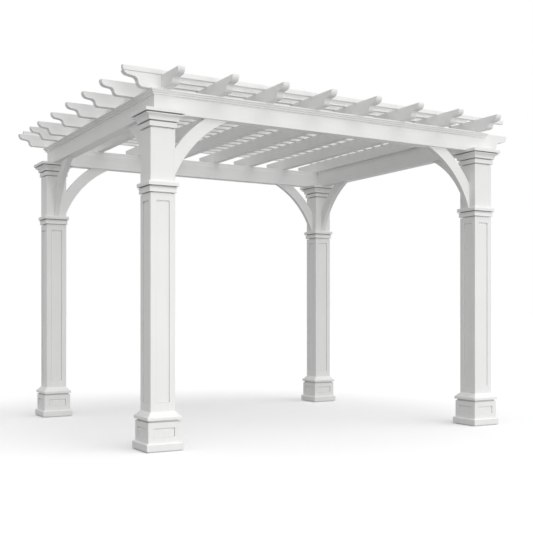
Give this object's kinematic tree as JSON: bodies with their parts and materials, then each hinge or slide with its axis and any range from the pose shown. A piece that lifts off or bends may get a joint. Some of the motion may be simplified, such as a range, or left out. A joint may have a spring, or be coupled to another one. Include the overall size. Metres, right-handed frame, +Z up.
{
  "type": "pergola",
  "caption": "Free-standing garden pergola: panelled posts with moulded bases and capitals carry curved braces, a crowned beam ring, scroll-cut rafters and slats.",
  "frame": {"origin": "on the ground, midway between the four posts", "axes": "+Z up, +X along the front beam towards the right post, -Y towards the front"},
  "size_m": [3.95, 3.42, 2.9],
  "materials": {
    "post_vinyl": "satin white vinyl",
    "beam_vinyl": "satin white vinyl",
    "roof_vinyl": "satin white vinyl"
  },
  "bodies": {
    "root": {"front_left_base": "post_vinyl", "front_right_base": "post_vinyl", "back_left_base": "post_vinyl", "back_right_base": "post_vinyl", "front_left_shaft": "post_vinyl", "front_right_shaft": "post_vinyl", "back_left_shaft": "post_vinyl", "back_right_shaft": "post_vinyl", "front_left_collar": "post_vinyl", "front_right_collar": "post_vinyl", "back_left_collar": "post_vinyl", "back_right_collar": "post_vinyl", "front_left_capital": "post_vinyl", "front_right_capital": "post_vinyl", "back_left_capital": "post_vinyl", "back_right_capital": "post_vinyl", "front_left_front_brace": "beam_vinyl", "front_right_front_brace": "beam_vinyl", "back_left_back_brace": "beam_vinyl", "back_right_back_brace": "beam_vinyl", "front_left_side_brace": "beam_vinyl", "front_right_side_brace": "beam_vinyl", "back_left_side_brace": "beam_vinyl", "back_right_side_brace": "beam_vinyl", "front_beam": "beam_vinyl", "back_beam": "beam_vinyl", "left_beam": "beam_vinyl", "right_beam": "beam_vinyl", "front_crown": "beam_vinyl", "back_crown": "beam_vinyl", "left_crown": "beam_vinyl", "right_crown": "beam_vinyl", "rafter_1": "roof_vinyl", "rafter_2": "roof_vinyl", "rafter_3": "roof_vinyl", "rafter_4": "roof_vinyl", "rafter_5": "roof_vinyl", "rafter_6": "roof_vinyl", "rafter_7": "roof_vinyl", "rafter_8": "roof_vinyl", "left_tails": "roof_vinyl", "right_tails": "roof_vinyl", "slats": "roof_vinyl"}
  },
  "joints": []
}
